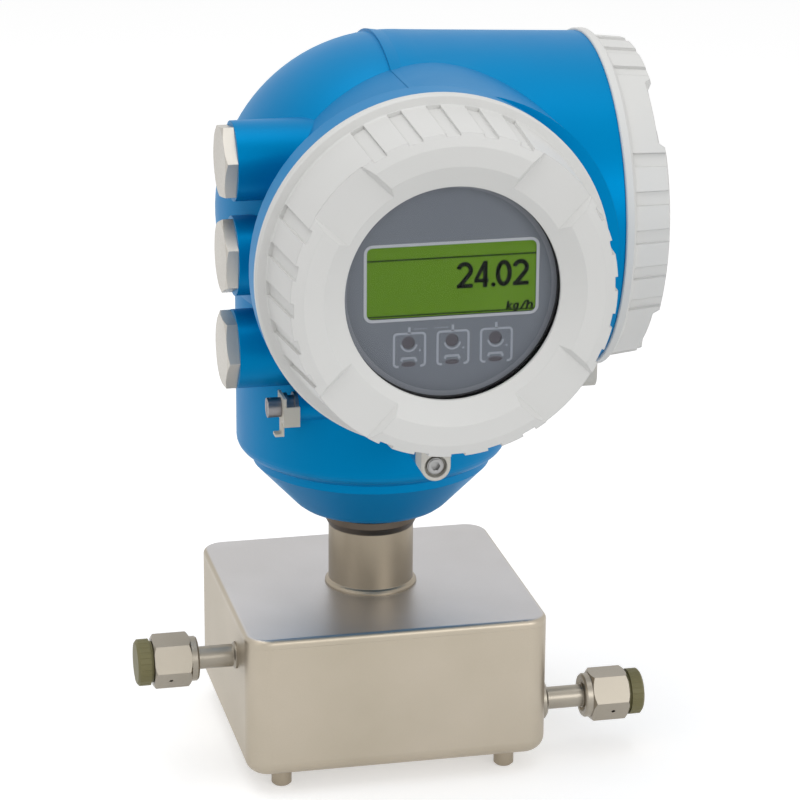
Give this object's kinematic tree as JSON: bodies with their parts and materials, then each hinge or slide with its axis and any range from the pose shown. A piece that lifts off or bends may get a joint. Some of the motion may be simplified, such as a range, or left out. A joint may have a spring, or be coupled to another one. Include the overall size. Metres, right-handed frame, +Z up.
{
  "type": "coriolis flow meter",
  "caption": "Compact Coriolis mass flow meter: steel sensor box on studs, side process tubes with union nuts, and a cast elbow housing with display and connection chambers.",
  "frame": {"origin": "centre of the four mounting studs, on the plane that they stand on, under the neck axis", "axes": "+Z up along the neck; X along the pipe run, from the inlet on -X to the outlet on +X; the display faces -Y and the connection chamber opens to +X"},
  "size_m": [0.2337, 0.2267, 0.334],
  "materials": {
    "steel": "satin",
    "bright_steel": "satin",
    "nickel": "satin",
    "blue_coat": "satin",
    "cover_coat": "satin",
    "olive_plastic": "matte",
    "seal_rubber": "matte",
    "copper_wire": "satin",
    "magnet": "satin",
    "dark_plastic": "matte",
    "bezel_grey": "matte",
    "lcd": "gloss",
    "key_lens": "gloss",
    "window": "gloss"
  },
  "bodies": {
    "sensor": {"sensor_tub": "steel", "sensor_lid": "steel", "mounting_studs": "steel", "neck_tube": "steel", "neck_feedthrough": "bright_steel", "inlet_tube": "bright_steel", "inlet_seal": "seal_rubber", "outlet_tube": "bright_steel", "outlet_seal": "seal_rubber", "measuring_tube": "bright_steel", "tube_carrier": "steel", "coil_bracket": "steel", "drive_coil": "copper_wire", "pickoff_coils": "copper_wire", "tube_magnets": "magnet", "temperature_sensor": "dark_plastic"},
    "inlet_nut": {"inlet_nut": "bright_steel"},
    "inlet_cap": {"inlet_cap": "olive_plastic"},
    "outlet_nut": {"outlet_nut": "bright_steel"},
    "outlet_cap": {"outlet_cap": "olive_plastic"},
    "head": {"housing": "blue_coat", "neck_seal": "seal_rubber", "electronics_module": "dark_plastic", "terminal_board": "dark_plastic", "terminal_strip": "dark_plastic", "ground_washer": "bright_steel"},
    "display_module": {"display_holder": "dark_plastic", "display_bezel": "bezel_grey", "lcd_panel": "lcd", "key_windows": "key_lens"},
    "display_cover_lift": {"display_cover_seal": "seal_rubber"},
    "display_cover": {"display_cover": "cover_coat", "window_gasket": "seal_rubber", "window_glass": "window", "window_ring": "dark_plastic"},
    "display_clamp": {"display_clamp": "nickel"},
    "display_clamp_screw": {"display_clamp_screw": "bright_steel"},
    "connection_cover_lift": {"connection_cover_seal": "seal_rubber"},
    "connection_cover": {"connection_cover": "cover_coat"},
    "connection_clamp": {"connection_clamp": "nickel"},
    "connection_clamp_screw": {"connection_clamp_screw": "bright_steel"},
    "entry_seal_top": {"entry_seal_top": "seal_rubber"},
    "entry_plug_top": {"entry_plug_top": "nickel"},
    "entry_seal_middle": {"entry_seal_middle": "seal_rubber"},
    "entry_plug_middle": {"entry_plug_middle": "nickel"},
    "entry_seal_bottom": {"entry_seal_bottom": "seal_rubber"},
    "entry_plug_bottom": {"entry_plug_bottom": "nickel"},
    "ground_clamp": {"ground_clamp": "bright_steel"},
    "ground_screw": {"ground_screw": "bright_steel"}
  },
  "joints": [
    {"name": "head_turn", "type": "hinge", "parent": "sensor", "child": "head", "pos_m": [0, 0, 0.105], "axis": [0, 0, 1], "range_deg": [-175, 175]},
    {"name": "display_cover_lift", "type": "slide", "parent": "head", "child": "display_cover_lift", "axis": [0, -1, 0], "range_m": [0, 0.012]},
    {"name": "display_cover_turn", "type": "hinge", "parent": "display_cover_lift", "child": "display_cover", "pos_m": [0.0033, -0.1044, 0.2543], "axis": [0, -1, 0], "range_deg": [0, 2160]},
    {"name": "connection_cover_lift", "type": "slide", "parent": "head", "child": "connection_cover_lift", "axis": [1, 0, 0], "range_m": [0, 0.012]},
    {"name": "connection_cover_turn", "type": "hinge", "parent": "connection_cover_lift", "child": "connection_cover", "pos_m": [0.096, 0, 0.2543], "axis": [1, 0, 0], "range_deg": [0, 2160]},
    {"name": "display_module_turn", "type": "hinge", "parent": "head", "child": "display_module", "pos_m": [0.0033, -0.13, 0.2543], "axis": [0, -1, 0], "range_deg": [-180, 180]},
    {"name": "display_clamp_lift", "type": "slide", "parent": "head", "child": "display_clamp", "axis": [0, -1, 0], "range_m": [0, 0.0014]},
    {"name": "display_clamp_turn", "type": "hinge", "parent": "display_clamp", "child": "display_clamp_screw", "pos_m": [0.0033, -0.1024, 0.1703], "axis": [0, -1, 0], "range_deg": [0, 720]},
    {"name": "connection_clamp_lift", "type": "slide", "parent": "head", "child": "connection_clamp", "axis": [1, 0, 0], "range_m": [0, 0.0014]},
    {"name": "connection_clamp_turn", "type": "hinge", "parent": "connection_clamp", "child": "connection_clamp_screw", "pos_m": [0.094, 0, 0.1703], "axis": [1, 0, 0], "range_deg": [0, 720]},
    {"name": "entry_plug_top_lift", "type": "slide", "parent": "head", "child": "entry_seal_top", "axis": [-1, 0, 0], "range_m": [0, 0.015]},
    {"name": "entry_plug_top_turn", "type": "hinge", "parent": "entry_seal_top", "child": "entry_plug_top", "pos_m": [-0.07, -0.038, 0.2885], "axis": [-1, 0, 0], "range_deg": [0, 3600]},
    {"name": "entry_plug_middle_lift", "type": "slide", "parent": "head", "child": "entry_seal_middle", "axis": [-1, 0, 0], "range_m": [0, 0.015]},
    {"name": "entry_plug_middle_turn", "type": "hinge", "parent": "entry_seal_middle", "child": "entry_plug_middle", "pos_m": [-0.07, -0.038, 0.2463], "axis": [-1, 0, 0], "range_deg": [0, 3600]},
    {"name": "entry_plug_bottom_lift", "type": "slide", "parent": "head", "child": "entry_seal_bottom", "axis": [-1, 0, 0], "range_m": [0, 0.015]},
    {"name": "entry_plug_bottom_turn", "type": "hinge", "parent": "entry_seal_bottom", "child": "entry_plug_bottom", "pos_m": [-0.07, -0.038, 0.2041], "axis": [-1, 0, 0], "range_deg": [0, 3600]},
    {"name": "ground_lift", "type": "slide", "parent": "head", "child": "ground_clamp", "axis": [-1, 0, 0], "range_m": [0, 0.0016]},
    {"name": "ground_turn", "type": "hinge", "parent": "ground_clamp", "child": "ground_screw", "pos_m": [-0.0444, -0.05, 0.18], "axis": [-1, 0, 0], "range_deg": [0, 720]},
    {"name": "inlet_nut_turn", "type": "hinge", "parent": "sensor", "child": "inlet_nut", "pos_m": [-0.1, -0.032, 0.057], "axis": [-1, 0, 0], "continuous": true},
    {"name": "inlet_cap_pull", "type": "slide", "parent": "inlet_nut", "child": "inlet_cap", "axis": [-1, 0, 0], "range_m": [0, 0.015]},
    {"name": "outlet_nut_turn", "type": "hinge", "parent": "sensor", "child": "outlet_nut", "pos_m": [0.1, -0.046, 0.0288], "axis": [1, 0, 0], "continuous": true},
    {"name": "outlet_cap_pull", "type": "slide", "parent": "outlet_nut", "child": "outlet_cap", "axis": [1, 0, 0], "range_m": [0, 0.015]}
  ],
  "couplings": [
    {"joint": "display_cover_lift", "follows": "display_cover_turn", "m_per_rad": 0.00031831},
    {"joint": "connection_cover_lift", "follows": "connection_cover_turn", "m_per_rad": 0.00031831},
    {"joint": "display_clamp_turn", "follows": "display_clamp_lift", "rad_per_m": 8976},
    {"joint": "connection_clamp_turn", "follows": "connection_clamp_lift", "rad_per_m": 8976},
    {"joint": "entry_plug_top_turn", "follows": "entry_plug_top_lift", "rad_per_m": 4188.8},
    {"joint": "entry_plug_middle_turn", "follows": "entry_plug_middle_lift", "rad_per_m": 4188.8},
    {"joint": "entry_plug_bottom_turn", "follows": "entry_plug_bottom_lift", "rad_per_m": 4188.8},
    {"joint": "ground_turn", "follows": "ground_lift", "rad_per_m": 7854}
  ]
}
